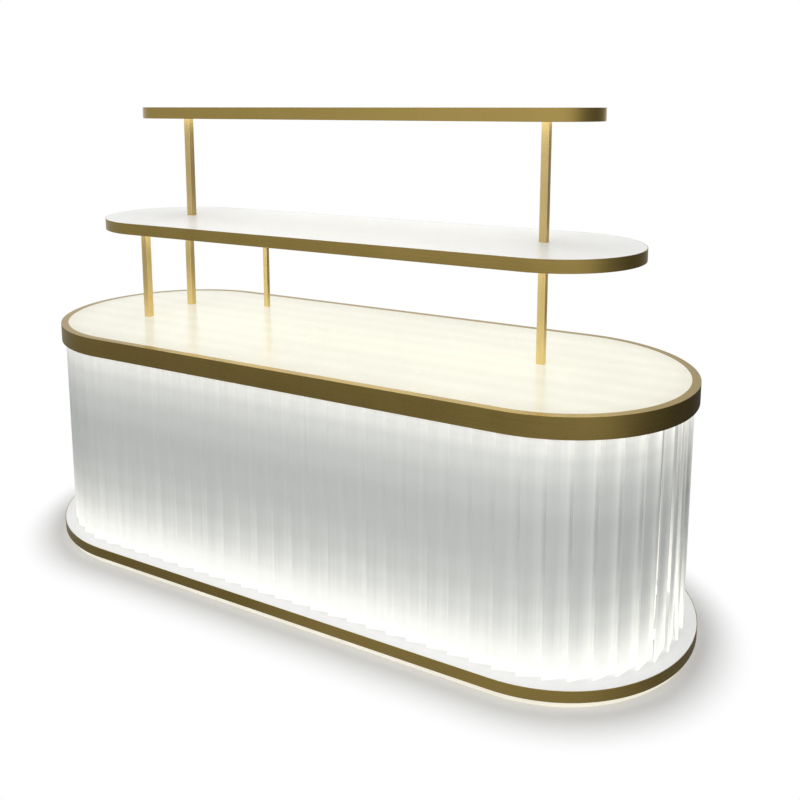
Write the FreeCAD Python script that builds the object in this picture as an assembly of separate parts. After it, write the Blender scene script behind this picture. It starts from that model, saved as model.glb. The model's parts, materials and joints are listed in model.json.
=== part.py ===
import FreeCAD, Part
import math
import os

# Lit island display counter, stadium plan, millimetres, +Z up, floor at Z 0.
# The long side runs along X, the front looks towards -Y.

# Overall counter
counter_length = 2400.0
counter_width = 892.0
counter_height = 830.0
base_overhang = 26.0

# Plinth and its light line
plinth_height = 25.0
plinth_board = 18.0
toe_recess = 15.0
toe_diffuser_thick = 6.0
toe_air_gap = 4.0
toe_floor_gap = 2.0

# Base deck and top board
deck_thick = 35.0
sub_top_thick = 18.0
skin = 2.0

# Top band and light box
top_band_height = 64.0
top_flange = 26.0
band_overlap = 2.0
rim_ledge = 14.0
opal_thick = 8.0

# Slats of the skirt
slat_width = 88.0
slat_thick = 5.0
slat_angle = 14.0
slat_pitch = 68.0
slat_recess = 16.0
slot_depth = 6.0

# Inner walls
core_recess = 100.0
core_wall = 12.0
bulkhead_thick = 18.0
bulkhead_pitch = 375.0

# Light channels behind the skirt
channel_recess = 66.0
channel_width = 20.0
channel_height = 10.0
channel_wall = 2.0
cover_thick = 2.0
tape_width = 10.0
tape_thick = 1.5

# Light box contents
bar_width = 12.0
bar_thick = 6.0
bar_pitch = 105.0
bar_end_gap = 20.0
spacer_diameter = 12.0
spacer_pitch = 400.0

# Shelves
shelf_thick = 40.0
shelf_panel_thick = 6.0
shelf_core_thick = 18.0
shelf_lip = 8.0
soffit_thick = 4.0
shelf_tape_recess = 70.0
shelf_1_length = 2047.0
shelf_1_width = 569.0
shelf_1_height = 1219.0
shelf_1_shift = 8.0
shelf_2_length = 1745.0
shelf_2_width = 340.0
shelf_2_height = 1630.0
shelf_2_shift = 24.0

# Posts, square tube
post_side = 25.0
post_wall = 1.5
slim_post_side = 18.0
post_line = 20.0
right_post_inset = 181.5
upper_post_inset = 144.5
pair_inset = 185.5
pair_half_gap = 121.0
slim_post_inset = 487.5
slim_post_y = 250.0

# Post plates and their screws
plate_margin = 17.5
plate_thick = 4.0
screw_shank = 4.0
screw_bite = 12.0
screw_head_diameter = 8.0
screw_head_height = 3.0
screw_edge = 8.0

# Levelling feet
foot_pad_diameter = 40.0
foot_pad_thick = 8.0
foot_floor_gap = 1.0
foot_stud_diameter = 10.0
foot_stud_length = 35.0
foot_x = 700.0
foot_y = 300.0
insert_barrel = 15.0
insert_depth = 22.0
insert_flange_diameter = 26.0
insert_flange_thick = 3.0

# Power
driver_length = 180.0
driver_width = 45.0
driver_height = 30.0
driver_gap = 91.0
grommet_bore = 20.0
grommet_barrel = 30.0
grommet_flange_diameter = 40.0
grommet_flange_thick = 3.0
grommet_x = 60.0
grommet_y = 150.0

# Clearances
glue_gap = 0.2
slide_gap = 0.3
hole_gap = 0.5

# Levels
deck_bottom = plinth_height
deck_top = deck_bottom + deck_thick
band_bottom = counter_height - top_band_height
sub_top_bottom = band_bottom + band_overlap
sub_top_top = sub_top_bottom + sub_top_thick
opal_bottom = counter_height - opal_thick
straight = counter_length - counter_width

# Post places, set in from the shelves' ends
pair_x = shelf_1_shift - shelf_1_length / 2 + pair_inset
slim_post_x = shelf_1_shift - shelf_1_length / 2 + slim_post_inset
upper_post_x = shelf_2_shift - shelf_2_length / 2 + upper_post_inset
right_post_x = shelf_2_shift + shelf_2_length / 2 - right_post_inset

# Bulkheads, evenly spaced along the straight part
bulkhead_spaces = max(1, round(straight / bulkhead_pitch))
bulkhead_step = (straight - bulkhead_thick) / bulkhead_spaces


def stadium(length, width, inset, bottom, height, centre=0):
    """Solid with straight sides and half-round ends, its outline moved in by inset."""
    radius = width / 2 - inset
    half = (length - width) / 2
    corners = [(-half, -radius), (half, -radius), (half, radius), (-half, radius)]
    points = [FreeCAD.Vector(centre + x, y, bottom) for x, y in corners]
    right = FreeCAD.Vector(centre + half + radius, 0, bottom)
    left = FreeCAD.Vector(centre - half - radius, 0, bottom)
    edges = [
        Part.LineSegment(points[0], points[1]).toShape(),
        Part.Arc(points[1], right, points[2]).toShape(),
        Part.LineSegment(points[2], points[3]).toShape(),
        Part.Arc(points[3], left, points[0]).toShape(),
    ]
    return Part.Face(Part.Wire(edges)).extrude(FreeCAD.Vector(0, 0, height))


def counter_plate(inset, bottom, height):
    return stadium(counter_length, counter_width, inset, bottom, height)


def counter_ring(outer_inset, inner_inset, bottom, height):
    return counter_plate(outer_inset, bottom, height).cut(counter_plate(inner_inset, bottom, height))


def block(x, y, bottom, length, width, height):
    corner = FreeCAD.Vector(x - length / 2, y - width / 2, bottom)
    return Part.makeBox(length, width, height, corner)


def rod(x, y, bottom, diameter, height):
    return Part.makeCylinder(diameter / 2, height, FreeCAD.Vector(x, y, bottom))


def split_sides(ring):
    """Front, rear, left and right pieces of a counter ring, cut where the round ends begin."""
    box = ring.BoundBox
    tall = box.ZLength
    end = counter_width / 2 + base_overhang
    middle = (straight + end) / 2
    front = ring.common(block(0, -end / 2, box.ZMin, straight, end, tall))
    rear = ring.common(block(0, end / 2, box.ZMin, straight, end, tall))
    left = ring.common(block(-middle, 0, box.ZMin, end, 2 * end, tall))
    right = ring.common(block(middle, 0, box.ZMin, end, 2 * end, tall))
    return {"front": front, "rear": rear, "left_end": left, "right_end": right}


def export(shape, node):
    shape.exportStep("parts/" + node + ".step")


def export_group(solids, node):
    export(Part.makeCompound(solids), node)


# Slat places: centre and turn of each slat, side by side round the outline
def slat_places():
    tooth = slat_width * math.sin(math.radians(slat_angle))
    tooth += slat_thick * math.cos(math.radians(slat_angle))
    inset = slat_recess + tooth / 2
    radius = counter_width / 2 - inset
    side_count = max(2, round(straight / slat_pitch))
    end_count = max(2, round(math.pi * radius / slat_pitch))
    places = {"front": [], "rear": [], "left_end": [], "right_end": []}
    for index in range(side_count):
        along = straight * ((index + 0.5) / side_count - 0.5)
        places["front"].append((along, -radius, slat_angle))
        places["rear"].append((-along, radius, slat_angle + 180))
    for index in range(end_count):
        facing = 180 * ((index + 0.5) / end_count - 0.5)
        out_x = straight / 2 + radius * math.cos(math.radians(facing))
        out_y = radius * math.sin(math.radians(facing))
        turn = facing + 90 + slat_angle
        places["right_end"].append((out_x, out_y, turn))
        places["left_end"].append((-out_x, -out_y, turn + 180))
    return places


def upright_strip(place, gap, bottom, top):
    """Upright strip of the slat's section at one place, grown by gap all round."""
    x, y, turn = place
    strip = block(0, 0, bottom, slat_width + 2 * gap, slat_thick + 2 * gap, top - bottom)
    strip.rotate(FreeCAD.Vector(0, 0, 0), FreeCAD.Vector(0, 0, 1), turn)
    strip.translate(FreeCAD.Vector(x, y, 0))
    return strip


def post_levels(shelf_height):
    """Levels of one shelf: core bottom and the underside of its post plates."""
    core_bottom = shelf_height - shelf_panel_thick - shelf_core_thick
    return core_bottom, core_bottom - plate_thick


shelf_1_core_bottom, shelf_1_plate_bottom = post_levels(shelf_1_height)
shelf_2_core_bottom, shelf_2_plate_bottom = post_levels(shelf_2_height)
post_foot = sub_top_top + plate_thick

front_post = (pair_x, post_line - pair_half_gap, post_side)
rear_post = (pair_x, post_line + pair_half_gap, post_side)
slim_post = (slim_post_x, slim_post_y, slim_post_side)
through_post = (right_post_x, post_line, post_side)
upper_post = (upper_post_x, post_line, post_side)
lower_posts = [front_post, rear_post, slim_post]


def square_bar(post, gap, bottom, top):
    x, y, side = post
    return block(x, y, bottom, side + 2 * gap, side + 2 * gap, top - bottom)


def tube(post, bottom, top):
    return square_bar(post, 0, bottom, top).cut(square_bar(post, -post_wall, bottom, top))


def screw_points(post):
    x, y, side = post
    reach = side / 2 + plate_margin - screw_edge
    return [(x + sx * reach, y + sy * reach) for sx in (-1, 1) for sy in (-1, 1)]


def screw_holes(post, bottom, height):
    hole = screw_shank + 2 * glue_gap
    return [rod(x, y, bottom, hole, height) for x, y in screw_points(post)]


def plate(post, bottom, bored):
    """Square post plate with four screw holes, bored for the tube where the tube passes."""
    x, y, side = post
    size = side + 2 * plate_margin
    solid = block(x, y, bottom, size, size, plate_thick)
    solid = solid.cut(Part.makeCompound(screw_holes(post, bottom, plate_thick)))
    if bored:
        solid = solid.cut(square_bar(post, glue_gap, bottom, bottom + plate_thick))
    return solid


def screws(post, seat, upwards):
    """Four screws whose heads lie on the plate face at level seat."""
    reach = plate_thick + screw_bite
    shank_bottom = seat if upwards else seat - reach
    head_bottom = seat - screw_head_height if upwards else seat
    solids = []
    for x, y in screw_points(post):
        head = rod(x, y, head_bottom, screw_head_diameter, screw_head_height)
        solids.append(head.fuse(rod(x, y, shank_bottom, screw_shank, reach)).removeSplitter())
    return solids


def make_plinth():
    diffuser_inset = toe_recess - base_overhang
    tape_inset = diffuser_inset + toe_diffuser_thick + toe_air_gap
    board_inset = tape_inset + tape_thick + glue_gap
    boards = counter_ring(board_inset, board_inset + plinth_board, 0, plinth_height)
    for side, board in split_sides(boards).items():
        export(board, "plinth_" + side)
    tape_bottom = (plinth_height - tape_width) / 2
    export(counter_ring(tape_inset, tape_inset + tape_thick, tape_bottom, tape_width), "toe_light_tape")
    diffuser_height = plinth_height - toe_floor_gap
    diffuser_inner = diffuser_inset + toe_diffuser_thick
    export(counter_ring(diffuser_inset, diffuser_inner, toe_floor_gap, diffuser_height), "toe_diffuser")


def foot_places():
    return [(x, y) for y in (-foot_y, foot_y) for x in (-foot_x, 0, foot_x)]


def make_feet():
    bore = foot_stud_diameter + 2 * slide_gap
    inserts = []
    for number, (x, y) in enumerate(foot_places(), 1):
        pad = rod(x, y, foot_floor_gap, foot_pad_diameter, foot_pad_thick)
        stud = rod(x, y, foot_floor_gap + foot_pad_thick, foot_stud_diameter, foot_stud_length)
        export(pad.fuse(stud).removeSplitter(), "levelling_foot_%d" % number)
        flange_bottom = deck_bottom - insert_flange_thick
        flange = rod(x, y, flange_bottom, insert_flange_diameter, insert_flange_thick)
        barrel = rod(x, y, deck_bottom, insert_barrel, insert_depth)
        insert = flange.fuse(barrel).removeSplitter()
        inserts.append(insert.cut(rod(x, y, flange_bottom, bore, insert_flange_thick + insert_depth)))
    export_group(inserts, "foot_inserts")


def make_deck(places):
    band_inner = skin - base_overhang
    deck = counter_plate(band_inner + glue_gap, deck_bottom, deck_thick)
    cuts = [upright_strip(place, slide_gap, deck_top - slot_depth, deck_top) for place in places]
    for x, y in foot_places():
        cuts.append(rod(x, y, deck_bottom, insert_barrel + 2 * glue_gap, insert_depth + slide_gap))
    cuts.append(rod(grommet_x, grommet_y, deck_bottom, grommet_barrel + 2 * glue_gap, deck_thick))
    export(deck.cut(Part.makeCompound(cuts)), "base_deck")
    export(counter_ring(-base_overhang, band_inner, deck_bottom, deck_thick), "base_trim_band")


def make_grommet():
    barrel = rod(grommet_x, grommet_y, deck_bottom, grommet_barrel, deck_thick)
    flange = rod(grommet_x, grommet_y, deck_top, grommet_flange_diameter, grommet_flange_thick)
    bore = rod(grommet_x, grommet_y, deck_bottom, grommet_bore, deck_thick + grommet_flange_thick)
    export(barrel.fuse(flange).removeSplitter().cut(bore), "cable_grommet")


def make_slats(places):
    bottom = deck_top - slot_depth
    top = sub_top_bottom + slot_depth - slide_gap
    for side, side_places in places.items():
        export_group([upright_strip(place, 0, bottom, top) for place in side_places], "slats_" + side)


def make_core():
    height = sub_top_bottom - deck_top
    wall = counter_ring(core_recess, core_recess + core_wall, deck_top, height)
    for side, panel in split_sides(wall).items():
        export(panel, "core_wall_" + side)
    depth = counter_width - 2 * (core_recess + core_wall)
    boards = []
    for index in range(bulkhead_spaces + 1):
        x = bulkhead_step * (index - bulkhead_spaces / 2)
        boards.append(block(x, 0, deck_top, bulkhead_thick, depth, height))
    export_group(boards, "bulkheads")


def make_channel(level, facing, name):
    """Light channel round the skirt at one level, open upwards (1) or downwards (-1)."""

    def layer(side_gap, start, thick):
        bottom = level + start if facing > 0 else level - start - thick
        outer = channel_recess + side_gap
        inner = channel_recess + channel_width - side_gap
        return counter_ring(outer, inner, bottom, thick)

    hollow = layer(channel_wall, channel_wall, channel_height - channel_wall)
    export(layer(0, 0, channel_height).cut(hollow), name + "_light_channel")
    tape_side = (channel_width - tape_width) / 2
    export(layer(tape_side, channel_wall, tape_thick), name + "_led_tape")
    cover_start = channel_height - cover_thick
    export(layer(channel_wall + glue_gap, cover_start, cover_thick), name + "_light_cover")


def make_drivers():
    middle_bulkhead = bulkhead_step / 2 * (bulkhead_spaces % 2)
    offset = middle_bulkhead + bulkhead_thick / 2 + driver_gap + driver_length / 2
    boxes = []
    for x in (-offset, offset):
        boxes.append(block(x, 0, deck_top, driver_length, driver_width, driver_height))
    export_group(boxes, "led_drivers")


def make_top(places):
    board = counter_plate(skin + glue_gap, sub_top_bottom, sub_top_thick)
    slot_top = sub_top_bottom + slot_depth
    cuts = [upright_strip(place, slide_gap, sub_top_bottom, slot_top) for place in places]
    bite_bottom = sub_top_top - screw_bite - slide_gap
    for post in lower_posts + [through_post]:
        cuts += screw_holes(post, bite_bottom, screw_bite + slide_gap)
    export(board.cut(Part.makeCompound(cuts)), "sub_top")

    flange_bottom = counter_height - skin
    outer = counter_ring(skin + glue_gap, top_flange, sub_top_top, flange_bottom - sub_top_top)
    ledge = counter_ring(top_flange, top_flange + rim_ledge, sub_top_top, opal_bottom - sub_top_top)
    export(outer.fuse(ledge).removeSplitter(), "rim_frame")

    wall = counter_ring(0, skin, band_bottom, flange_bottom - band_bottom)
    flange = counter_ring(0, top_flange, flange_bottom, skin)
    export(wall.fuse(flange).removeSplitter(), "top_trim_band")

    opal = counter_plate(top_flange + glue_gap, opal_bottom, opal_thick)
    for post in lower_posts + [through_post]:
        opal = opal.cut(square_bar(post, hole_gap, opal_bottom, counter_height))
    export(opal, "opal_top_panel")


def make_light_box():
    """Light bars lie in rows on the top board and stop short of the post plates."""
    reach = counter_width / 2 - top_flange - rim_ledge - bar_width
    count = int(reach / bar_pitch)
    half = right_post_x - post_side / 2 - plate_margin - bar_end_gap
    clear = Part.makeCompound([
        square_bar(post, plate_margin + bar_end_gap / 2, sub_top_top, opal_bottom) for post in lower_posts])
    bars = []
    for index in range(-count, count + 1):
        bar = block(0, index * bar_pitch, sub_top_top, 2 * half, bar_width, bar_thick)
        bars += bar.cut(clear).Solids
    export_group(bars, "lightbox_led_bars")
    pegs = []
    for x in (-1.5, -0.5, 0.5, 1.5):
        for y in (-1.5, 1.5):
            peg_height = opal_bottom - sub_top_top
            pegs.append(rod(x * spacer_pitch, y * bar_pitch, sub_top_top, spacer_diameter, peg_height))
    export_group(pegs, "panel_spacers")


def make_posts():
    export(tube(front_post, post_foot, shelf_1_plate_bottom), "lower_post_front_left")
    export(tube(rear_post, post_foot, shelf_1_plate_bottom), "lower_post_rear_left")
    export(tube(slim_post, post_foot, shelf_1_plate_bottom), "lower_post_slim_rear")
    export(tube(through_post, post_foot, shelf_2_plate_bottom), "through_post_right")
    export(tube(upper_post, shelf_1_core_bottom, shelf_2_plate_bottom), "upper_post_left")
    feet = lower_posts + [through_post]
    export_group([plate(post, sub_top_top, False) for post in feet], "post_base_plates")
    export_group(sum([screws(post, post_foot, False) for post in feet], []), "post_base_screws")


def make_shelf(name, size, height, shift, held_posts, passing_posts, stopped_posts):
    """One shelf: held posts end under its core, passing and stopped posts go up through its top."""
    length, width = size
    bottom = height - shelf_thick
    core_bottom, plate_bottom = post_levels(height)
    core_top = core_bottom + shelf_core_thick
    rising = passing_posts + stopped_posts
    hanging = held_posts + passing_posts

    def layer(inset, level, thick):
        return stadium(length, width, inset, level, thick, shift)

    wall = layer(0, bottom, shelf_thick).cut(layer(skin, bottom, shelf_thick))
    lip = layer(0, bottom, skin).cut(layer(shelf_lip, bottom, skin))
    export(wall.fuse(lip).removeSplitter(), name + "_trim_band")

    inset = skin + glue_gap
    core = layer(inset, core_bottom, shelf_core_thick)
    holes = [square_bar(post, hole_gap, core_bottom, core_top) for post in rising]
    for post in held_posts + rising:
        holes += screw_holes(post, core_bottom, screw_bite + slide_gap)
    export(core.cut(Part.makeCompound(holes)), name + "_core")

    panel = layer(inset, core_top, shelf_panel_thick)
    for post in rising:
        panel = panel.cut(square_bar(post, hole_gap, core_top, height))
    export(panel, name + "_top_panel")

    soffit = layer(inset, bottom + skin, soffit_thick)
    for post in hanging:
        soffit = soffit.cut(square_bar(post, hole_gap, bottom + skin, bottom + skin + soffit_thick))
    export(soffit, name + "_soffit")

    tape_y = width / 2 - shelf_tape_recess
    tapes = []
    for y in (-tape_y, tape_y):
        tapes.append(block(shift, y, core_bottom - tape_thick, length - width, tape_width, tape_thick))
    export_group(tapes, name + "_led_tape")

    plates = [plate(post, plate_bottom, False) for post in held_posts + stopped_posts]
    plates += [plate(post, plate_bottom, True) for post in passing_posts]
    export_group(plates, name + "_post_plates")
    fixings = [screws(post, plate_bottom, True) for post in held_posts + rising]
    export_group(sum(fixings, []), name + "_plate_screws")


os.makedirs("parts", exist_ok=True)
slats = slat_places()
all_slats = sum(slats.values(), [])
make_plinth()
make_feet()
make_deck(all_slats)
make_grommet()
make_slats(slats)
make_core()
make_channel(deck_top, 1, "lower")
make_channel(sub_top_bottom, -1, "upper")
make_drivers()
make_top(all_slats)
make_light_box()
make_posts()
make_shelf("shelf_1", (shelf_1_length, shelf_1_width), shelf_1_height, shelf_1_shift,
           lower_posts, [through_post], [upper_post])
make_shelf("shelf_2", (shelf_2_length, shelf_2_width), shelf_2_height, shelf_2_shift,
           [upper_post, through_post], [], [])
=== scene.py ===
import json
import math
import bmesh
import bpy
from mathutils import Matrix, Vector


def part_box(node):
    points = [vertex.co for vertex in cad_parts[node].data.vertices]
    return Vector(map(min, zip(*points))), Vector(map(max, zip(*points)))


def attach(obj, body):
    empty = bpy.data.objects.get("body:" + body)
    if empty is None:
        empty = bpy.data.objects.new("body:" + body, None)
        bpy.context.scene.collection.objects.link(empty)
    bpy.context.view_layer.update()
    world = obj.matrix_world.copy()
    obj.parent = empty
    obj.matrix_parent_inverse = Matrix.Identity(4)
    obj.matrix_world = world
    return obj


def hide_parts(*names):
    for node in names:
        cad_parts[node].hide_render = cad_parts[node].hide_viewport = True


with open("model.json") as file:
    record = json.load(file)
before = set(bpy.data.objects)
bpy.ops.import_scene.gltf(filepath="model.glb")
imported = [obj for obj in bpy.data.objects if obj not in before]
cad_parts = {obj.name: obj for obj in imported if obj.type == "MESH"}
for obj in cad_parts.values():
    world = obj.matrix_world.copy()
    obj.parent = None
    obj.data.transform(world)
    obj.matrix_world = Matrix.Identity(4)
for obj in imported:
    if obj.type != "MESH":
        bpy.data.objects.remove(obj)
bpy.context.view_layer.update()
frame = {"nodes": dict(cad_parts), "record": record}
nodes = frame["nodes"]
print("frame loaded:", len(nodes), "nodes")

mm = 0.001
weld = 0.01 * mm  # points closer than this are merged
smoothAngle = 12.0  # edges with a sharper turn than this stay crisp


def putInScene(item):
    bpy.context.scene.collection.objects.link(item)


# small helpers for shader trees

def shade(colour, share):
    return tuple(share * part for part in colour)


def grey(stops):
    return [(at, (value,) * 3) for at, value in stops]


def tinted(stops, tint):
    return [(at, shade(tint, value)) for at, value in stops]


def newMaterial(name):
    material = bpy.data.materials.new(name)
    material.use_nodes = True
    tree = material.node_tree
    return material, tree, tree.nodes["Principled BSDF"]


def newGroup(name, inputs, outputs):
    group = bpy.data.node_groups.new(name, "ShaderNodeTree")
    for label, kind, value in inputs:
        socket = group.interface.new_socket(label, in_out="INPUT", socket_type=kind)
        socket.default_value = value
    for label, kind in outputs:
        group.interface.new_socket(label, in_out="OUTPUT", socket_type=kind)
    start = group.nodes.new("NodeGroupInput")
    end = group.nodes.new("NodeGroupOutput")
    return group, start, end


def useGroup(tree, group, **values):
    node = tree.nodes.new("ShaderNodeGroup")
    node.node_tree = group
    for label, value in values.items():
        node.inputs[label].default_value = value
    return node


def mathNode(tree, operation, first, second=None):
    node = tree.nodes.new("ShaderNodeMath")
    node.operation = operation
    for socket, value in zip(node.inputs, (first, second)):
        if value is None:
            continue
        if isinstance(value, (int, float)):
            socket.default_value = value
        else:
            tree.links.new(value, socket)
    return node.outputs[0]


def vectorNode(tree, operation, first, second):
    node = tree.nodes.new("ShaderNodeVectorMath")
    node.operation = operation
    tree.links.new(first, node.inputs[0])
    tree.links.new(second, node.inputs["Scale" if operation == "SCALE" else 1])
    return node.outputs["Vector"]


def splitNode(tree, vector):
    node = tree.nodes.new("ShaderNodeSeparateXYZ")
    tree.links.new(vector, node.inputs["Vector"])
    return node.outputs


def objectPlace(tree):
    return tree.nodes.new("ShaderNodeTexCoord").outputs["Object"]


def rampNode(tree, factor, stops, smooth=True):
    node = tree.nodes.new("ShaderNodeValToRGB")
    node.color_ramp.interpolation = "EASE" if smooth else "LINEAR"
    elements = node.color_ramp.elements
    while len(elements) > 1:
        elements.remove(elements[-1])
    for index, (place, colour) in enumerate(stops):
        element = elements[0] if index == 0 else elements.new(place)
        element.position = place
        element.color = (*colour, 1.0)
    tree.links.new(factor, node.inputs["Fac"])
    return node.outputs["Color"]


def mapRange(tree, value, low, high, toLow, toHigh, ease="LINEAR"):
    node = tree.nodes.new("ShaderNodeMapRange")
    node.interpolation_type = ease
    for socket, number in zip(list(node.inputs)[1:5], (low, high, toLow, toHigh)):
        socket.default_value = number
    tree.links.new(value, node.inputs["Value"])
    return node.outputs["Result"]


litReach = (0.45, 0.9)  # metres from a lit panel, over which its extra reflection fades


def glowNode(tree, bsdf, colour, inMetal=1.0):
    # a lit panel is brighter than the white that the picture can show, and metal close to it shows that
    bsdf.inputs["Emission Strength"].default_value = 1.0
    if inMetal != 1.0:
        path = tree.nodes.new("ShaderNodeLightPath")
        near = mapRange(tree, path.outputs["Ray Length"], *litReach, 1.0, 0.0)
        near = mathNode(tree, "MULTIPLY", near, path.outputs["Is Glossy Ray"])
        colour = vectorNode(tree, "SCALE", colour, mapRange(tree, near, 0.0, 1.0, 1.0, inMetal))
    tree.links.new(colour, bsdf.inputs["Emission Color"])


def bumpNode(tree, bsdf, height, strength, distance):
    node = tree.nodes.new("ShaderNodeBump")
    node.inputs["Strength"].default_value = strength
    node.inputs["Distance"].default_value = distance
    tree.links.new(height, node.inputs["Height"])
    tree.links.new(node.outputs["Normal"], bsdf.inputs["Normal"])


# effects that several finishes share

noiseSet = {"lineDetail": 4.0, "lineRoughness": 0.65, "smudgeDetail": 5.0, "smudgeRoughness": 0.6}
toneSpan = (0.3, 0.7)  # part of the noise over which lines and roughness change
smudgeSpan = (0.35, 0.65)  # the same for smudged colours


def makeBrushGroup():
    group, start, end = newGroup(
        "brushLines", [("Stretch", "NodeSocketVector", (3, 3, 400))], [("Line", "NodeSocketFloat")])
    place = vectorNode(group, "MULTIPLY", objectPlace(group), start.outputs["Stretch"])
    noise = group.nodes.new("ShaderNodeTexNoise")
    noise.inputs["Scale"].default_value = 1.0
    noise.inputs["Detail"].default_value = noiseSet["lineDetail"]
    noise.inputs["Roughness"].default_value = noiseSet["lineRoughness"]
    group.links.new(place, noise.inputs["Vector"])
    group.links.new(noise.outputs["Fac"], end.inputs["Line"])
    return group


def makeSmudgeGroup():
    group, start, end = newGroup(
        "handSmudges", [("Scale", "NodeSocketFloat", 6.0)], [("Smudge", "NodeSocketFloat")])
    noise = group.nodes.new("ShaderNodeTexNoise")
    noise.inputs["Detail"].default_value = noiseSet["smudgeDetail"]
    noise.inputs["Roughness"].default_value = noiseSet["smudgeRoughness"]
    group.links.new(objectPlace(group), noise.inputs["Vector"])
    group.links.new(start.outputs["Scale"], noise.inputs["Scale"])
    group.links.new(noise.outputs["Fac"], end.inputs["Smudge"])
    return group


def makeSkirtGroup():
    # height share and depth share inside the lit skirt, worked out from the oblong plan
    group, start, end = newGroup(
        "skirtPlace",
        [("Bottom", "NodeSocketFloat", 0.0), ("Top", "NodeSocketFloat", 1.0),
         ("Straight", "NodeSocketFloat", 0.75), ("Outer", "NodeSocketFloat", 0.42),
         ("Inner", "NodeSocketFloat", 0.39)],
        [("Rise", "NodeSocketFloat"), ("Depth", "NodeSocketFloat")])
    split = splitNode(group, objectPlace(group))
    rise = group.nodes.new("ShaderNodeMapRange")
    group.links.new(split["Z"], rise.inputs["Value"])
    group.links.new(start.outputs["Bottom"], rise.inputs["From Min"])
    group.links.new(start.outputs["Top"], rise.inputs["From Max"])
    group.links.new(rise.outputs["Result"], end.inputs["Rise"])
    past = mathNode(group, "SUBTRACT", mathNode(group, "ABSOLUTE", split["X"]), start.outputs["Straight"])
    past = mathNode(group, "MAXIMUM", past, 0.0)
    square = mathNode(group, "ADD", mathNode(group, "MULTIPLY", past, past),
                      mathNode(group, "MULTIPLY", split["Y"], split["Y"]))
    depth = group.nodes.new("ShaderNodeMapRange")
    group.links.new(mathNode(group, "SQRT", square), depth.inputs["Value"])
    group.links.new(start.outputs["Outer"], depth.inputs["From Min"])
    group.links.new(start.outputs["Inner"], depth.inputs["From Max"])
    group.links.new(depth.outputs["Result"], end.inputs["Depth"])
    return group


studioSides = [  # degrees round from the front, to the right
    (-180, 0.76), (-168, 0.88), (-158, 1.0), (-130, 0.92), (-110, 0.74), (-90, 0.60), (-65, 0.64),
    (-45, 0.66), (-36, 0.73), (-24, 0.94), (-15, 1.0), (48, 1.0), (65, 0.86), (79, 0.55), (92, 0.33),
    (112, 0.21), (130, 0.17), (160, 0.30), (180, 0.76),
]
nearSides = [  # the same for the floor close to the counter
    (-180, 0.76), (-158, 1.0), (-130, 0.92), (-110, 0.74), (-90, 0.62), (-60, 0.60), (-46, 0.62),
    (-38, 0.67), (-27, 0.66), (-16, 0.69), (-3, 0.84), (8, 0.90), (18, 1.0), (45, 1.0), (56, 1.17),
    (66, 1.07), (74, 0.72), (80, 0.50), (92, 0.33), (112, 0.20), (130, 0.17), (160, 0.30), (180, 0.76),
]


def makeSidesGroup(name, sideStops):
    # how bright the studio is to each side, which only reflections show
    group, start, end = newGroup(
        name, [("Way", "NodeSocketVector", (0, -1, 0))], [("Light", "NodeSocketFloat")])
    split = splitNode(group, start.outputs["Way"])
    turn = mathNode(group, "ARCTAN2", split["X"], mathNode(group, "MULTIPLY", split["Y"], -1.0))
    share = mapRange(group, turn, -math.pi, math.pi, 0.0, 1.0)
    light = rampNode(group, share, grey([(0.5 + way / 360, value) for way, value in sideStops]), False)
    group.links.new(light, end.inputs["Light"])
    return group


brushGroup = makeBrushGroup()
smudgeGroup = makeSmudgeGroup()
skirtGroup = makeSkirtGroup()
studioGroup = makeSidesGroup("studioSides", studioSides)
nearGroup = makeSidesGroup("nearSides", nearSides)


def smudgeNode(tree, scale):
    return useGroup(tree, smudgeGroup, Scale=scale).outputs["Smudge"]


def smudgeRamp(tree, smudge, dark, light):
    return rampNode(tree, smudge, [(smudgeSpan[0], dark), (smudgeSpan[1], light)])


def toneRamp(tree, line, dark, light):
    return rampNode(tree, line, [(toneSpan[0], dark), (toneSpan[1], light)])


def setRoughness(tree, bsdf, value, roughness):
    tree.links.new(mapRange(tree, value, *toneSpan, *roughness), bsdf.inputs["Roughness"])


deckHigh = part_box("base_deck")[1]
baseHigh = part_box("base_trim_band")[1]
bandLow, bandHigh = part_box("top_trim_band")
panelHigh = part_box("opal_top_panel")[1]
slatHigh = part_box("slats_right_end")[1]
wallLow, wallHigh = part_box("core_wall_right_end")
straightHalf = bandHigh[0] - bandHigh[1]  # half length less the end radius


# finishes

bronze = {
    "dark": (0.33, 0.237, 0.067), "light": (0.385, 0.279, 0.088), "stretch": (2.0, 2.0, 900.0),
    "roughness": (0.22, 0.34),
}
gold = {
    "dark": (0.56, 0.43, 0.182), "light": (0.685, 0.53, 0.238), "stretch": (700.0, 700.0, 2.0),
    "roughness": (0.40, 0.52),
}
brushLook = {
    "lines": 0.6, "smudges": 0.4, "smudgeScale": 5.0, "edge": (1.0, 0.98, 0.94), "bump": (0.35, 0.1 * mm),
}


def brushedMetal(name, look):
    material, tree, bsdf = newMaterial(name)
    line = useGroup(tree, brushGroup, Stretch=look["stretch"]).outputs["Line"]
    smudge = smudgeNode(tree, brushLook["smudgeScale"])
    tone = mathNode(tree, "ADD", mathNode(tree, "MULTIPLY", line, brushLook["lines"]),
                    mathNode(tree, "MULTIPLY", smudge, brushLook["smudges"]))
    tree.links.new(toneRamp(tree, tone, look["dark"], look["light"]), bsdf.inputs["Base Color"])
    setRoughness(tree, bsdf, tone, look["roughness"])
    bsdf.inputs["Metallic"].default_value = 1.0
    bsdf.inputs["Specular Tint"].default_value = (*brushLook["edge"], 1.0)
    bumpNode(tree, bsdf, line, *brushLook["bump"])
    return material


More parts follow.
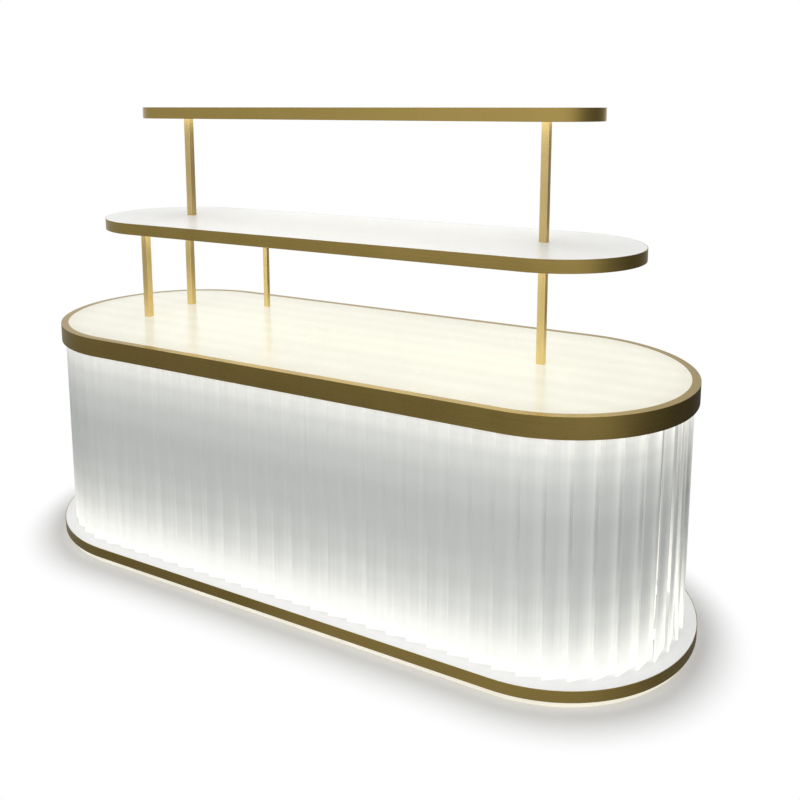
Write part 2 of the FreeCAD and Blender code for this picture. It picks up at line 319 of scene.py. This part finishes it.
slatLook = {
    "base": (0.545, 0.566, 0.55), "baseInner": (0.575, 0.596, 0.58), "depth": 26 * mm,
    "roughness": (0.37, 0.50), "smudgeScale": 40.0, "bump": (0.12, 0.4 * mm),
    "warm": (1.0, 0.975, 0.91), "stretch": (90.0, 90.0, 0.7), "footDepth": 0.7,
    # painted light by height, from the feet up
    "glow": [(0.0, 0.50), (0.08, 0.44), (0.15, 0.34), (0.24, 0.215), (0.36, 0.115), (0.50, 0.05),
             (0.62, 0.035), (0.75, 0.095), (0.88, 0.22), (0.95, 0.36), (1.0, 0.53)],
    "foot": [(0.0, 0.15), (0.10, 0.12), (0.20, 0.06), (0.32, 0.01), (0.42, 0.0)],  # painted light at the feet, which evens the outer edges
    "innerLight": [(0.0, 0.05), (0.10, 0.08), (0.20, 0.16), (0.42, 0.16), (0.60, 0.08), (1.0, 0.08)],
    "lightStreak": [(0.0, 0.06), (0.10, 0.12), (0.20, 0.22), (0.42, 0.22), (0.60, 0.11), (1.0, 0.11)],
    "seamRise": [(0.05, 0.25), (0.30, 1.15), (0.50, 1.10), (0.75, 0.95), (0.90, 0.80), (1.0, 0.75)],
    # by depth, from the outer edge in: painted light between two slats, where they shade each other
    "seam": [(0.10, 0.0), (0.25, 0.03), (0.40, 0.10), (0.50, 0.16), (0.63, 0.22), (1.0, 0.22)],
}


def frostedSlat():
    material, tree, bsdf = newMaterial("frostedSlat")
    place = useGroup(tree, skirtGroup, Bottom=deckHigh[2], Top=bandLow[2], Straight=straightHalf,
                     Outer=slatHigh[1], Inner=slatHigh[1] - slatLook["depth"])
    rise, depth = place.outputs["Rise"], place.outputs["Depth"]
    # painted light: the colour is a little lighter towards the inner edge, where the next slat shades it
    base = rampNode(tree, depth, [(0.0, slatLook["base"]), (1.0, slatLook["baseInner"])])
    tree.links.new(base, bsdf.inputs["Base Color"])
    # painted light: the slats glow by height as if lit through from the strips behind them
    glow = rampNode(tree, rise, tinted(slatLook["glow"], slatLook["warm"]))
    # painted light: the inner edge is lit brighter, and fine streaks of light run down the slat
    innerLight = mathNode(tree, "MULTIPLY", rampNode(tree, rise, grey(slatLook["innerLight"])),
                    mapRange(tree, depth, 0.0, 1.0, -1.0, 1.0))
    line = useGroup(tree, brushGroup, Stretch=slatLook["stretch"]).outputs["Line"]
    lightStreak = mathNode(tree, "MULTIPLY", rampNode(tree, rise, grey(slatLook["lightStreak"])),
                      mapRange(tree, line, *toneSpan, -1.0, 1.0))
    vary = mathNode(tree, "ADD", mathNode(tree, "ADD", innerLight, lightStreak), 1.0)
    glow = vectorNode(tree, "SCALE", glow, vary)
    seam = vectorNode(tree, "SCALE", rampNode(tree, depth, grey(slatLook["seam"])),
                      rampNode(tree, rise, grey(slatLook["seamRise"])))
    # painted light at the slats' feet, fading inwards from the outer edge
    foot = vectorNode(tree, "SCALE", rampNode(tree, rise, tinted(slatLook["foot"], slatLook["warm"])),
                      mapRange(tree, depth, 0.0, slatLook["footDepth"], 1.0, 0.0))
    glowNode(tree, bsdf, vectorNode(tree, "ADD", vectorNode(tree, "ADD", glow, seam), foot))
    smudge = smudgeNode(tree, slatLook["smudgeScale"])
    setRoughness(tree, bsdf, smudge, slatLook["roughness"])
    bumpNode(tree, bsdf, smudge, *slatLook["bump"])
    return material


wallLook = {
    "base": (0.52, 0.52, 0.50), "worn": 0.96, "roughness": 0.5, "smudgeScale": 9.0, "depth": 20 * mm,
    "glow": [(0.0, 0.62), (0.15, 0.45), (0.35, 0.16), (0.60, 0.06), (0.80, 0.08), (1.0, 0.34)],
    "warm": (1.0, 0.98, 0.92),
}


def litWall():
    # the core wall behind the slats, lit from below and above
    material, tree, bsdf = newMaterial("litWall")
    place = useGroup(tree, skirtGroup, Bottom=wallLow[2], Top=wallHigh[2], Straight=straightHalf,
                     Outer=wallHigh[1], Inner=wallHigh[1] - wallLook["depth"])
    glowNode(tree, bsdf, rampNode(tree, place.outputs["Rise"], tinted(wallLook["glow"], wallLook["warm"])))
    smudge = smudgeNode(tree, wallLook["smudgeScale"])
    tone = smudgeRamp(tree, smudge, shade(wallLook["base"], wallLook["worn"]), wallLook["base"])
    tree.links.new(tone, bsdf.inputs["Base Color"])
    bsdf.inputs["Roughness"].default_value = wallLook["roughness"]
    return material


ledgeLook = {
    "base": (0.86, 0.865, 0.87), "worn": 0.97, "roughness": (0.35, 0.50), "smudgeScale": 10.0,
    "glow": [(0.0, 0.09), (0.6, 0.08), (0.85, 0.03), (1.0, 0.0)], "warm": (1.0, 0.99, 0.95),
    "foot": 0.425,  # the slats' feet, in metres from the middle line
}


def litLedge():
    # a faint glow that fades out towards the slats' feet, where their own light falls
    material, tree, bsdf = newMaterial("litLedge")
    place = useGroup(tree, skirtGroup, Straight=straightHalf, Outer=deckHigh[1], Inner=ledgeLook["foot"])
    glowNode(tree, bsdf, rampNode(tree, place.outputs["Depth"], tinted(ledgeLook["glow"], ledgeLook["warm"])))
    smudge = smudgeNode(tree, ledgeLook["smudgeScale"])
    tone = smudgeRamp(tree, smudge, shade(ledgeLook["base"], ledgeLook["worn"]), ledgeLook["base"])
    tree.links.new(tone, bsdf.inputs["Base Color"])
    setRoughness(tree, bsdf, smudge, ledgeLook["roughness"])
    return material


topLook = {
    "base": (0.44, 0.435, 0.40), "glow": (0.405, 0.405, 0.342), "glowDim": (0.345, 0.343, 0.277),
    "barPitch": 105 * mm, "barSpan": (0.35, 0.65), "bars": 0.45, "clouds": 0.55, "cloudScale": 1.7,
    "roughness": (0.16, 0.28), "smudgeScale": 14.0, "gloss": 0.42, "inMetal": 2.1,
    "ends": (0.3, 1.1, 1.0, 1.22),  # X from and to, and the share of glow there
    "rim": [(0.0, (0.80, 0.765, 0.70)), (0.45, (0.93, 0.92, 0.90)), (1.0, (1.0, 1.0, 1.0))],
    "rimWidth": 0.13,
}


def opalTop():
    # soft bars of light from the strips under the panel, dimmer at the rim
    material, tree, bsdf = newMaterial("opalTop")
    split = splitNode(tree, objectPlace(tree))
    turn = mathNode(tree, "MULTIPLY", split["Y"], 2 * math.pi / topLook["barPitch"])
    bars = mapRange(tree, mathNode(tree, "COSINE", turn), -1.0, 1.0, *topLook["barSpan"])
    clouds = smudgeNode(tree, topLook["cloudScale"])
    mix = mathNode(tree, "ADD", mathNode(tree, "MULTIPLY", bars, topLook["bars"]),
                   mathNode(tree, "MULTIPLY", clouds, topLook["clouds"]))
    glow = toneRamp(tree, mix, topLook["glowDim"], topLook["glow"])
    glow = vectorNode(tree, "SCALE", glow, mapRange(tree, split["X"], *topLook["ends"]))
    edge = useGroup(tree, skirtGroup, Straight=straightHalf, Outer=panelHigh[1],
                    Inner=panelHigh[1] - topLook["rimWidth"])
    glow = vectorNode(tree, "MULTIPLY", glow, rampNode(tree, edge.outputs["Depth"], topLook["rim"]))
    glowNode(tree, bsdf, glow, topLook["inMetal"])
    bsdf.inputs["Base Color"].default_value = (*topLook["base"], 1.0)
    bsdf.inputs["Specular IOR Level"].default_value = topLook["gloss"]
    setRoughness(tree, bsdf, smudgeNode(tree, topLook["smudgeScale"]), topLook["roughness"])
    return material


boardLook = {
    "dark": (0.36, 0.24, 0.13), "light": (0.56, 0.41, 0.25), "stretch": (3.0, 60.0, 60.0),
    "roughness": 0.7, "bump": (0.3, 0.6 * mm),
}


def rawBoard():
    # plywood grain runs along the counter
    material, tree, bsdf = newMaterial("rawBoard")
    grain = useGroup(tree, brushGroup, Stretch=boardLook["stretch"]).outputs["Line"]
    tree.links.new(toneRamp(tree, grain, boardLook["dark"], boardLook["light"]), bsdf.inputs["Base Color"])
    bsdf.inputs["Roughness"].default_value = boardLook["roughness"]
    bumpNode(tree, bsdf, grain, *boardLook["bump"])
    return material


creamColours = ((0.80, 0.78, 0.70), (0.84, 0.82, 0.75))
plainLooks = {  # by material slot, then by node
    "opal_line": {"name": "creamLine", "colours": creamColours, "roughness": (0.30, 0.42), "scale": 12.0,
                  "glow": (0.70, 0.68, 0.61), "inMetal": 5.3},
    "white_panel": {"name": "whitePanel", "colours": ((0.85, 0.855, 0.85), (0.88, 0.885, 0.88)),
                    "roughness": (0.28, 0.36), "scale": 5.0, "gloss": 0.18},
    "white_board": {"name": "whiteBoard", "colours": ((0.85, 0.855, 0.86), (0.88, 0.885, 0.89)),
                    "roughness": (0.35, 0.50), "scale": 10.0},
    "channel_metal": {"name": "channelMetal", "colours": ((0.84, 0.84, 0.85), (0.90, 0.90, 0.91)),
                      "roughness": (0.30, 0.45), "scale": 20.0, "metallic": 1.0},
    "led_tape": {"name": "ledTape", "colours": ((0.85, 0.82, 0.72), (0.9, 0.88, 0.8)),
                 "roughness": (0.4, 0.5), "scale": 60.0, "glow": (1.4, 1.3, 1.1)},
    "zinc_steel": {"name": "zincSteel", "colours": ((0.42, 0.43, 0.44), (0.58, 0.58, 0.60)),
                   "roughness": (0.25, 0.42), "scale": 30.0, "metallic": 1.0},
    "driver_case": {"name": "driverCase", "colours": ((0.70, 0.70, 0.69), (0.76, 0.76, 0.75)),
                    "roughness": (0.4, 0.5), "scale": 80.0, "bump": 0.2 * mm},
    "black_rubber": {"name": "blackRubber", "colours": ((0.02, 0.02, 0.02), (0.035, 0.035, 0.035)),
                     "roughness": (0.55, 0.7), "scale": 90.0, "bump": 0.3 * mm},
    "toe_diffuser": {"name": "toeLine", "colours": ((0.50, 0.47, 0.40), (0.54, 0.51, 0.44)),
                     "roughness": (0.30, 0.42), "scale": 12.0, "glow": (0.54, 0.52, 0.44)},
    "shelf_2_soffit": {"name": "softLine", "colours": creamColours, "roughness": (0.30, 0.42),
                       "scale": 12.0, "glow": (0.88, 0.855, 0.77), "inMetal": 2.4},
}
plainSet = {"dim": 0.94, "bumpStrength": 0.3}


def plainFinish(name, colours, roughness, scale, metallic=0.0, glow=None, inMetal=1.0, bump=0.0,
                gloss=0.5):
    material, tree, bsdf = newMaterial(name)
    smudge = smudgeNode(tree, scale)
    tree.links.new(smudgeRamp(tree, smudge, *colours), bsdf.inputs["Base Color"])
    setRoughness(tree, bsdf, smudge, roughness)
    bsdf.inputs["Specular IOR Level"].default_value = gloss
    bsdf.inputs["Metallic"].default_value = metallic
    if glow:
        glowNode(tree, bsdf, smudgeRamp(tree, smudge, shade(glow, plainSet["dim"]), glow), inMetal)
    if bump:
        bumpNode(tree, bsdf, smudge, plainSet["bumpStrength"], bump)
    return material


finishes = {key: plainFinish(**look) for key, look in plainLooks.items()}
finishes.update({
    "bronze_band": brushedMetal("bronzeBand", bronze), "gold_tube": brushedMetal("goldTube", gold),
    "frosted_acrylic": frostedSlat(), "opal_acrylic": opalTop(), "core_board": rawBoard(),
    "base_deck": litLedge(), "core_wall": litWall(),
})
print("finishes made:", len(finishes))

slotOf = {part["node"]: part["material_slot"] for part in frame["record"]["subparts"]}


def finishOf(node):
    if node.startswith("core_wall"):
        return finishes["core_wall"]
    return finishes.get(node, finishes[slotOf[node]])


for nodeName, nodeObject in nodes.items():
    nodeObject.data.materials.clear()
    nodeObject.data.materials.append(finishOf(nodeName))
print("finishes given to the frame")


# pieces that stand for frame nodes

def addPiece(name, bm, standsFor):
    mesh = bpy.data.meshes.new(name)
    bm.to_mesh(mesh)
    bm.free()
    for polygon in mesh.polygons:
        polygon.use_smooth = True
    mesh.set_sharp_from_angle(angle=math.radians(smoothAngle))
    mesh.materials.append(finishOf(standsFor))
    piece = bpy.data.objects.new(name, mesh)
    putInScene(piece)
    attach(piece, "counter")
    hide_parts(standsFor)


bandSet = {
    "skin": 2 * mm, "flange": 26 * mm, "lip": 8 * mm, "roundOff": 0.6 * mm, "roundSteps": 3,
    "rimAngle": 60.0, "segments": 160,
}


def oblongLoop(bm, low, high, inset, z):
    # a circle pulled apart along X into two half rounds
    segments = bandSet["segments"]
    radius = (high[1] - low[1]) / 2 - inset
    half = (high[0] - low[0]) / 2 - (high[1] - low[1]) / 2
    turn = Matrix.Rotation(math.pi / segments, 4, "Z")
    made = bmesh.ops.create_circle(bm, segments=segments, radius=radius,
                                   matrix=Matrix.Translation((0, 0, z)) @ turn)
    for side in (-1, 1):
        ends = [v for v in made["verts"] if v.co.x * side > 0]
        bmesh.ops.translate(bm, verts=ends, vec=(side * half, 0, 0))
    middle = Vector(((low[0] + high[0]) / 2, (low[1] + high[1]) / 2, 0))
    bmesh.ops.translate(bm, verts=made["verts"], vec=middle)
    return list({edge for v in made["verts"] for edge in v.link_edges})


def ringBand(name, standsFor, profile):
    # profile: corners of the band's section as (inset, height), in order round the section
    low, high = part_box(standsFor)
    half = (high[0] - low[0]) / 2 - (high[1] - low[1]) / 2
    middle = (low[0] + high[0]) / 2
    bm = bmesh.new()
    loop = oblongLoop(bm, low, high, *profile[0])
    inset = profile[0][0]
    for corner in profile[1:] + profile[:1]:
        made = bmesh.ops.extrude_edge_only(bm, edges=loop)["geom"]
        loop = [item for item in made if isinstance(item, bmesh.types.BMEdge)]
        for vert in [item for item in made if isinstance(item, bmesh.types.BMVert)]:
            spine = Vector((middle + max(-half, min(half, vert.co.x - middle)), 0, vert.co.z))
            vert.co += (spine - vert.co).normalized() * (corner[0] - inset)
            vert.co.z = corner[1]
        inset = corner[0]
    bmesh.ops.remove_doubles(bm, verts=bm.verts, dist=weld)
    rims = [edge for edge in bm.edges
            if abs(edge.calc_face_angle(0)) > math.radians(bandSet["rimAngle"])]
    bmesh.ops.bevel(bm, geom=rims, offset=bandSet["roundOff"], segments=bandSet["roundSteps"],
                    profile=0.5, affect="EDGES", material=-1)
    bmesh.ops.recalc_face_normals(bm, faces=bm.faces)
    addPiece(name, bm, standsFor)


def makeBands():
    skin, flange, lip = bandSet["skin"], bandSet["flange"], bandSet["lip"]
    low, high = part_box("base_trim_band")
    ringBand("baseBand", "base_trim_band",
             [(0, low[2]), (0, high[2]), (skin, high[2]), (skin, low[2])])
    low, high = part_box("top_trim_band")
    ringBand("topBand", "top_trim_band",
             [(0, low[2]), (0, high[2]), (flange, high[2]), (flange, high[2] - skin),
              (skin, high[2] - skin), (skin, low[2])])
    for number in (1, 2):
        standsFor = "shelf_%d_trim_band" % number
        low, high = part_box(standsFor)
        ringBand("shelfBand%d" % number, standsFor,
                 [(0, low[2]), (0, high[2]), (skin, high[2]), (skin, low[2] + skin),
                  (lip, low[2] + skin), (lip, low[2])])


easedEdges = {"slats": (0.7 * mm, 2), "posts": (1.2 * mm, 3), "flatAngle": 1.0, "sharpAngle": 40.0}


def roundedCopy(name, standsFor, roundOff, segments):
    # the frame's own shape with its sharp edges eased
    bm = bmesh.new()
    bm.from_mesh(nodes[standsFor].data)
    bmesh.ops.remove_doubles(bm, verts=bm.verts, dist=weld)
    bmesh.ops.dissolve_limit(bm, angle_limit=math.radians(easedEdges["flatAngle"]),
                             verts=bm.verts, edges=bm.edges)
    sharpAngle = math.radians(easedEdges["sharpAngle"])
    sharp = [edge for edge in bm.edges
             if len(edge.link_faces) == 2 and edge.calc_face_angle() > sharpAngle]
    bmesh.ops.bevel(bm, geom=sharp, offset=roundOff, segments=segments, profile=0.5, affect="EDGES",
                    material=-1)
    addPiece(name, bm, standsFor)


def makeEasedPieces():
    for side in ("front", "rear", "left_end", "right_end"):
        roundedCopy("slatRow_" + side, "slats_" + side, *easedEdges["slats"])
    for node in [n for n in nodes if slotOf[n] == "gold_tube"]:
        roundedCopy(node + "_tube", node, *easedEdges["posts"])


makeBands()
print("bands made")
makeEasedPieces()
print("slats and posts made")


# floor, lights and camera

floorSet = {
    "size": 40.0, "cells": 8, "colour": (0.80, 0.80, 0.80), "roughness": 0.6,
    "shade": (0.0, 0.17),  # metres out from the base, over which the floor turns white
    # by metres from the counter's centre
    "inMetal": [(0.0, 0.50), (1.3, 0.50), (2.4, 0.40), (3.0, 0.40), (7.0, 0.78), (16.0, 0.95), (40.0, 1.2)],
    "near": (3.2, 6.5),  # metres, where nearSides gives way to studioSides
}


def reflectedFloor(tree):
    # how bright the floor is in reflections, by distance and side from the counter's centre
    place = objectPlace(tree)
    length = tree.nodes.new("ShaderNodeVectorMath")
    length.operation = "LENGTH"
    tree.links.new(place, length.inputs[0])
    reach = length.outputs["Value"]
    size = floorSet["size"]
    away = rampNode(tree, mathNode(tree, "DIVIDE", reach, size),
                    grey([(at / size, value) for at, value in floorSet["inMetal"]]), False)
    wide, close = useGroup(tree, studioGroup), useGroup(tree, nearGroup)
    for sides in (wide, close):
        tree.links.new(place, sides.inputs["Way"])
    step = mathNode(tree, "SUBTRACT", close.outputs["Light"], wide.outputs["Light"])
    near = mapRange(tree, reach, *floorSet["near"], 1.0, 0.0)
    light = mathNode(tree, "ADD", wide.outputs["Light"], mathNode(tree, "MULTIPLY", step, near))
    return mathNode(tree, "MULTIPLY", away, light)


def makeFloor():
    bm = bmesh.new()
    bmesh.ops.create_grid(bm, x_segments=floorSet["cells"], y_segments=floorSet["cells"],
                          size=floorSet["size"])
    mesh = bpy.data.meshes.new("floor")
    bm.to_mesh(mesh)
    bm.free()
    floor = bpy.data.objects.new("floor", mesh)
    putInScene(floor)
    material, tree, bsdf = newMaterial("paleFloor")
    bsdf.inputs["Base Color"].default_value = (*floorSet["colour"], 1.0)
    bsdf.inputs["Roughness"].default_value = floorSet["roughness"]
    edge = baseHigh[1]
    place = useGroup(tree, skirtGroup, Straight=baseHigh[0] - edge,
                     Outer=edge + floorSet["shade"][0], Inner=edge + floorSet["shade"][1])
    far = mapRange(tree, place.outputs["Depth"], 0.0, 1.0, 0.0, 1.0, "SMOOTHSTEP")
    path = tree.nodes.new("ShaderNodeLightPath")
    glossy = path.outputs["Is Glossy Ray"]
    rays = mathNode(tree, "MAXIMUM", path.outputs["Is Camera Ray"], path.outputs["Is Transmission Ray"])
    loss = mathNode(tree, "MULTIPLY", mathNode(tree, "SUBTRACT", 1.0, reflectedFloor(tree)), glossy)
    white = tree.nodes.new("ShaderNodeEmission")
    tree.links.new(mathNode(tree, "SUBTRACT", 1.0, loss), white.inputs["Strength"])
    mix = tree.nodes.new("ShaderNodeMixShader")
    seen = mathNode(tree, "MAXIMUM", mathNode(tree, "MULTIPLY", far, rays), glossy)
    tree.links.new(seen, mix.inputs["Fac"])
    tree.links.new(bsdf.outputs["BSDF"], mix.inputs[1])
    tree.links.new(white.outputs["Emission"], mix.inputs[2])
    tree.links.new(mix.outputs["Shader"], tree.nodes["Material Output"].inputs["Surface"])
    mesh.materials.append(material)


lampSet = {
    "key": {"at": (-0.6, -4.2, 3.2), "size": 2.6, "power": 52.0},
    "fill": {"at": (3.6, -2.4, 2.3), "size": 2.4, "power": 40.0},
    "top": {"at": (-0.2, 0.3, 6.0), "size": 4.2, "power": 85.0},
    "rear": {"at": (-0.4, 4.2, 2.6), "size": 2.6, "power": 30.0},
    "side": {"at": (-4.2, -0.4, 2.2), "size": 2.4, "power": 20.0},
}
lampAim = (0, 0, 0.7)


def makeLamps():
    for name, look in lampSet.items():
        lamp = bpy.data.lights.new(name, "AREA")
        lamp.shape = "DISK"
        lamp.size = look["size"]
        lamp.energy = look["power"]
        holder = bpy.data.objects.new(name, lamp)
        holder.location = look["at"]
        holder.visible_glossy = False
        aim = Vector(lampAim) - Vector(look["at"])
        holder.rotation_euler = aim.to_track_quat("-Z", "Y").to_euler()
        putInScene(holder)


worldSet = {
    "soft": 0.38, "inMetal": 1.27,
    "upward": (0.06, 0.18, 1.0, 0.76),  # Z of the view from and to, and the share of light there
}


def makeWorld():
    world = bpy.data.worlds.new("studio")
    bpy.context.scene.world = world
    world.use_nodes = True
    tree = world.node_tree
    back = tree.nodes["Background"]
    path = tree.nodes.new("ShaderNodeLightPath")
    aim = tree.nodes.new("ShaderNodeTexCoord").outputs["Generated"]
    sides = useGroup(tree, studioGroup)
    tree.links.new(aim, sides.inputs["Way"])
    shine = mathNode(tree, "MULTIPLY", sides.outputs["Light"], worldSet["inMetal"])
    upward = mapRange(tree, splitNode(tree, aim)["Z"], *worldSet["upward"])
    shine = mathNode(tree, "MULTIPLY", shine, upward)
    shine = mathNode(tree, "MULTIPLY", shine, path.outputs["Is Glossy Ray"])
    seen = mathNode(tree, "MAXIMUM", path.outputs["Is Camera Ray"], path.outputs["Is Transmission Ray"])
    seen = mathNode(tree, "MAXIMUM", seen, shine)
    soft = mathNode(tree, "MULTIPLY", path.outputs["Is Diffuse Ray"], worldSet["soft"])
    back.inputs["Color"].default_value = (1.0, 1.0, 1.0, 1.0)
    tree.links.new(mathNode(tree, "MAXIMUM", seen, soft), back.inputs["Strength"])


cameraSet = {
    "at": (1.5856, -2.5316, 1.6335), "yaw": 28.471, "pitch": 8.741, "sensor": 36.0, "farthest": 200.0,
    "focal": 869.4, "centre": (398.1, 240.0), "frame": 800.0,  # pixels
}


def makeCamera():
    lens = bpy.data.cameras.new("camera")
    lens.sensor_width = cameraSet["sensor"]
    lens.lens = cameraSet["focal"] / cameraSet["frame"] * lens.sensor_width
    lens.shift_x = 0.5 - cameraSet["centre"][0] / cameraSet["frame"]
    lens.shift_y = cameraSet["centre"][1] / cameraSet["frame"] - 0.5
    lens.clip_end = cameraSet["farthest"]
    holder = bpy.data.objects.new("camera", lens)
    holder.location = cameraSet["at"]
    holder.rotation_euler = (math.radians(90 - cameraSet["pitch"]), 0, math.radians(cameraSet["yaw"]))
    putInScene(holder)
    bpy.context.scene.camera = holder


makeFloor()
makeLamps()
makeWorld()
makeCamera()
bpy.context.scene.view_settings.view_transform = "Standard"
print("stage, lamps and camera set")
